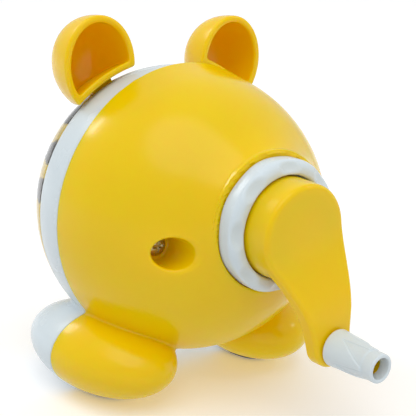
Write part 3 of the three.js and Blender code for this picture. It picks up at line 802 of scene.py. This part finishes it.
yellow = moulded("yellow_plastic", (0.97, 0.615, 0.0), (0.96, 0.59, 0.0), waves=0.03,
                 scatter=0.65, glow=(1.0, 0.45, 0.03))
white = moulded("white_plastic", (0.70, 0.78, 0.82), (0.67, 0.755, 0.80), rough=(0.2, 0.3), waves=0.004,
                scatter=0.3, glow=(1.0, 1.0, 1.0))
dark = moulded("dark_plastic", (0.035, 0.038, 0.04), (0.028, 0.03, 0.032), rough=(0.35, 0.5), grain=0.15)
grey = moulded("grey_plastic", (0.50, 0.52, 0.54), (0.46, 0.48, 0.5), rough=(0.35, 0.5), grain=0.15)
rubber = moulded("pad_rubber", (0.03, 0.033, 0.035), (0.045, 0.047, 0.05), rough=(0.6, 0.8), grain=0.4)
steel = metal("cutter_steel", (0.58, 0.59, 0.61), (0.5, 0.51, 0.53), (0.22, 0.38), (1, 0.06, 1))
zinc = metal("yellow_zinc", (0.56, 0.46, 0.22), (0.40, 0.36, 0.22), (0.2, 0.36), (1, 1, 1))
clear = clear_plastic()
printed = printed_face()

# ---- the outer pieces ---------------------------------------------------------------------------
SHELL_TURN = full_turn(300)
ball_axis = around(0, 0)
crank_line = around(0, AXIS_RISE)

add_piece("rear_shell", fine_mesh(
    rear_shell,
    [np.concatenate([steps(10, 32, 0.45), steps(32.8, 63, 0.8, [41.9])]), SHELL_TURN,
     np.concatenate([steps(SEAM_Y - 1, 35, 0.8, [SEAM_Y]), steps(35.4, DOME_B + 1, 0.4)])],
    ball_axis, wraps=True, cell=0.5,
), yellow)
add_piece("front_shell", fine_mesh(
    front_shell,
    [steps(0.3, 63, 0.8, [40.5, 41.9]), SHELL_TURN, steps(-43, 23, 0.8, [SEAM_Y, BAND_Y])],
    ball_axis, wraps=True, cell=0.8,
), white)
RIM_POLAR = math.acos((GAP - BAND_Y) / BODY_R)
add_piece("face_cover", fine_mesh(
    face_cover,
    [steps(0.004, RIM_POLAR + 0.06, 0.018, [RIM_POLAR], 0.003, 0.02), SHELL_TURN,
     steps(BODY_R - COVER_T - 0.4, BODY_R + 0.4, 0.22)],
    on_sphere, wraps=True, cell=0.4,
), clear)
add_piece("face_insert", fine_mesh(
    face_insert,
    [steps(0.004, RIM_POLAR + 0.06, 0.018, [RIM_POLAR], 0.003, 0.03), SHELL_TURN,
     steps(INSERT_R - 0.9, INSERT_R + 0.3, 0.14)],
    on_sphere, wraps=True, cell=0.3,
), printed)
add_piece("pencil_guide", fine_mesh(
    pencil_guide,
    [steps(3.6, 9.6, 0.25), full_turn(120), steps(-47.6, -23.8, 0.3)],
    crank_line, wraps=True, cell=0.3,
), dark)
ear_shape = fine_mesh(
    ear,
    [steps(6.5, 37.5, 0.45), steps(-26, -6.6, 0.45), steps(26.5, 56.5, 0.45)],
    cell=0.45, even=3,
)
add_piece("left_ear", ear_shape, yellow)
add_piece("right_ear", mirrored(ear_shape), yellow)
add_piece("lock_ring", fine_mesh(
    lock_ring,
    [steps(4.4, 19.2, 0.35), full_turn(280), steps(30, 48, 0.35)],
    crank_line, wraps=True, cell=0.35,
), white)
add_piece("crank_arm", fine_mesh(
    crank_arm,
    [steps(-16.5, 14.6, 0.5), steps(42.4, 74.4, 0.5), steps(-32.2, 20.2, 0.5)],
    cell=0.5, even=3,
), yellow)
add_piece("crank_knob", fine_mesh(
    crank_knob,
    [steps(1.8, 5.8, 0.2), full_turn(160), steps(59.8, 77, 0.25)],
    around(KNOB_X, KNOB_Z), wraps=True, cell=0.25,
), white)
screw_shape = fine_mesh(
    body_screw,
    [steps(SCREW_X - 3.3, SCREW_X + 3.3, 0.2), steps(12.4, 28.6, 0.2),
     steps(SCREW_Z - 3.3, SCREW_Z + 3.3, 0.2)],
    cell=0.2, even=1,
)
add_piece("left_body_screw", screw_shape, zinc)
add_piece("right_body_screw", mirrored(screw_shape), zinc)
pad_shape = fine_mesh(
    foot_pad,
    [steps(18, 36, 0.4), steps(-10, 14, 0.4), steps(-51.2, -48.6, 0.2)],
    cell=0.3, even=1,
)
add_piece("left_foot_pad", pad_shape, rubber)
add_piece("right_foot_pad", mirrored(pad_shape), rubber)

# ---- the pieces inside keep their CAD meshes -----------------------------------------------------
for node, material in {
    "carrier_bearing": grey,
    "ring_gear": grey,
    "cutter_carrier": grey,
    "cutter_pinion": grey,
    "helical_cutter": steel,
    "cutter_pin": steel,
    "crank_screw": zinc,
}.items():
    frame["nodes"][node].data.materials.clear()
    frame["nodes"][node].data.materials.append(material)


# ---- floor, lights and camera --------------------------------------------------------------------
def floor_disc(radius=6.0, rings=24, sides=96):
    """A wide round floor, with smaller faces towards its middle."""
    points, faces = [(0.0, 0.0, 0.0)], []
    for ring in range(1, rings + 1):
        reach = radius * (ring / rings) ** 2
        for side in range(sides):
            angle = 2 * math.pi * side / sides
            points.append((reach * math.cos(angle), reach * math.sin(angle), 0.0))
    for side in range(sides):
        after = (side + 1) % sides
        faces.append((0, 1 + side, 1 + after))
        for ring in range(rings - 1):
            start = 1 + ring * sides
            faces.append((start + side, start + sides + side, start + sides + after, start + after))
    mesh = bpy.data.meshes.new("floor")
    mesh.from_pydata(points, [], faces)
    floor = bpy.data.objects.new("floor", mesh)
    bpy.context.scene.collection.objects.link(floor)
    material, tree, shader = new_material("pale_floor")
    shade = blend(tree, noise(tree, 3), (0.93, 0.93, 0.93), (0.91, 0.91, 0.915))
    tree.links.new(shade, shader.inputs["Base Color"])
    tree.links.new(spread(tree, noise(tree, 30), 0.55, 0.7), shader.inputs["Roughness"])
    shader.inputs["Emission Color"].default_value = (1, 1, 1, 1)
    shader.inputs["Emission Strength"].default_value = 0.15
    mesh.materials.append(material)
    floor.visible_diffuse = False


def toward(azimuth, elevation):
    """A direction from the ball, from degrees round from +X and degrees up."""
    level = math.cos(math.radians(elevation))
    x, y = level * math.cos(math.radians(azimuth)), level * math.sin(math.radians(azimuth))
    return Vector((x, y, math.sin(math.radians(elevation))))


def add_light(name, kind, way, power, distance=1.0, roll=0.0):
    """A light that looks at the ball from a direction, rolled by some degrees."""
    light = bpy.data.lights.new(name, kind)
    light.energy = power
    lamp = bpy.data.objects.new(name, light)
    bpy.context.scene.collection.objects.link(lamp)
    aim = (-way).to_track_quat("-Z", "Y").to_matrix() @ Matrix.Rotation(math.radians(roll), 3, "Z")
    lamp.matrix_world = Matrix.Translation(Vector(CENTRE) * MM + way * distance) @ aim.to_4x4()
    return lamp


def softbox(name, way, power, size, distance=1.0, roll=0.0):
    lamp = add_light(name, "AREA", way, power, distance, roll)
    lamp.data.shape = "RECTANGLE"
    lamp.data.size, lamp.data.size_y = size
    return lamp


def studio():
    world = bpy.data.worlds.new("studio")
    world.use_nodes = True
    tree = world.node_tree
    background = tree.nodes["Background"]
    background.inputs["Color"].default_value = (0.98, 0.99, 1.0, 1)
    seen = tree.nodes.new("ShaderNodeLightPath").outputs["Is Camera Ray"]
    tree.links.new(calc(tree, "MULTIPLY_ADD", seen, 0.3, 0.72), background.inputs["Strength"])
    bpy.context.scene.world = world
    bpy.context.scene.view_settings.view_transform = "Standard"
    add_light("ceiling", "SUN", toward(40, 66), 0.85).data.angle = math.radians(50)
    softbox("streak", toward(-67, 37), 1.3, (0.32, 0.07), roll=-40)
    softbox("rear_glint", toward(146, 38), 0.4, (0.16, 0.06))


def camera():
    cos_a, sin_a = math.cos(VIEW_AZIMUTH), math.sin(VIEW_AZIMUTH)
    cos_e, sin_e = math.cos(VIEW_ELEVATION), math.sin(VIEW_ELEVATION)
    back = Vector((sin_a * cos_e, -cos_a * cos_e, sin_e))
    level = Vector((cos_a, sin_a, 0))
    upright = back.cross(level)
    right = level * math.cos(VIEW_ROLL) + upright * math.sin(VIEW_ROLL)
    up = upright * math.cos(VIEW_ROLL) - level * math.sin(VIEW_ROLL)
    lens = bpy.data.cameras.new("camera")
    lens.sensor_width = 36
    lens.lens = LENS
    lens.clip_start = 0.01
    lens.clip_end = 50
    viewer = bpy.data.objects.new("camera", lens)
    bpy.context.scene.collection.objects.link(viewer)
    place = Vector(CENTRE) + right * VIEW_SIDE[0] + up * VIEW_SIDE[1] + back * VIEW_DISTANCE
    viewer.matrix_world = Matrix.Translation(place * MM) @ Matrix((right, up, back)).transposed().to_4x4()
    bpy.context.scene.camera = viewer


floor_disc()
studio()
camera()

# ---- the end --------------------------------------------------------------------------------------
bpy.context.view_layer.update()
